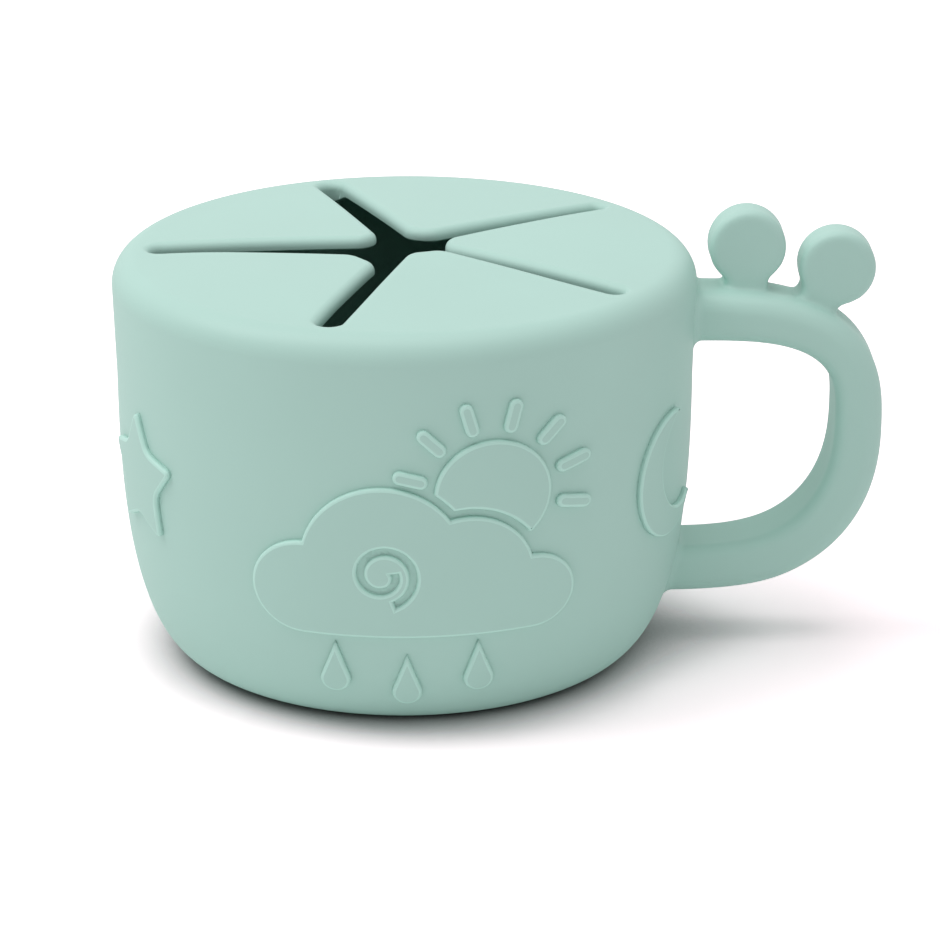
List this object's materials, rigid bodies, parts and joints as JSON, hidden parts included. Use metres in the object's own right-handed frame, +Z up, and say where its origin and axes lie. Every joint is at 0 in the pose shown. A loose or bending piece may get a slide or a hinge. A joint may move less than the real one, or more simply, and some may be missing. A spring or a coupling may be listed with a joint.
{
  "type": "toddler snack container",
  "caption": "Soft round snack cup with a side loop handle, two round knobs and a slit star top whose flaps bend in for a small hand.",
  "frame": {"origin": "centre of the cup's flat base, on the surface that the cup stands on", "axes": "+Z up along the cup's axis, +X towards the handle, -Y towards the side with the cloud motif"},
  "size_m": [0.1192, 0.0906, 0.0697],
  "materials": {
    "silicone": "matte mint green silicone",
    "silicone_motif": "matte mint green silicone, raised"
  },
  "bodies": {
    "cup": {"bowl": "silicone", "rim": "silicone", "handle": "silicone", "knob_upright": "silicone", "knob_leaning": "silicone", "relief_cloud": "silicone_motif", "relief_sun": "silicone_motif", "relief_raindrops": "silicone_motif", "relief_star": "silicone_motif", "relief_moon": "silicone_motif"},
    "flap_handle_side": {"flap_handle_side": "silicone"},
    "flap_back_right": {"flap_back_right": "silicone"},
    "flap_back_left": {"flap_back_left": "silicone"},
    "flap_front_left": {"flap_front_left": "silicone"},
    "flap_front_right": {"flap_front_right": "silicone"}
  },
  "joints": [
    {"name": "flap_handle_side_bend", "type": "hinge", "parent": "cup", "child": "flap_handle_side", "pos_m": [0.03115, 0, 0.0627], "axis": [0, -1, 0], "range_deg": [-25, 70], "stiffness_Nm_per_rad": 0.02},
    {"name": "flap_back_right_bend", "type": "hinge", "parent": "cup", "child": "flap_back_right", "pos_m": [0.00962, 0.02962, 0.0627], "axis": [0.9511, -0.309, 0], "range_deg": [-25, 70], "stiffness_Nm_per_rad": 0.02},
    {"name": "flap_back_left_bend", "type": "hinge", "parent": "cup", "child": "flap_back_left", "pos_m": [-0.0252, 0.01831, 0.0627], "axis": [0.5878, 0.809, 0], "range_deg": [-25, 70], "stiffness_Nm_per_rad": 0.02},
    {"name": "flap_front_left_bend", "type": "hinge", "parent": "cup", "child": "flap_front_left", "pos_m": [-0.0252, -0.01831, 0.0627], "axis": [-0.5878, 0.809, 0], "range_deg": [-25, 70], "stiffness_Nm_per_rad": 0.02},
    {"name": "flap_front_right_bend", "type": "hinge", "parent": "cup", "child": "flap_front_right", "pos_m": [0.00962, -0.02962, 0.0627], "axis": [-0.9511, -0.309, 0], "range_deg": [-25, 70], "stiffness_Nm_per_rad": 0.02}
  ]
}
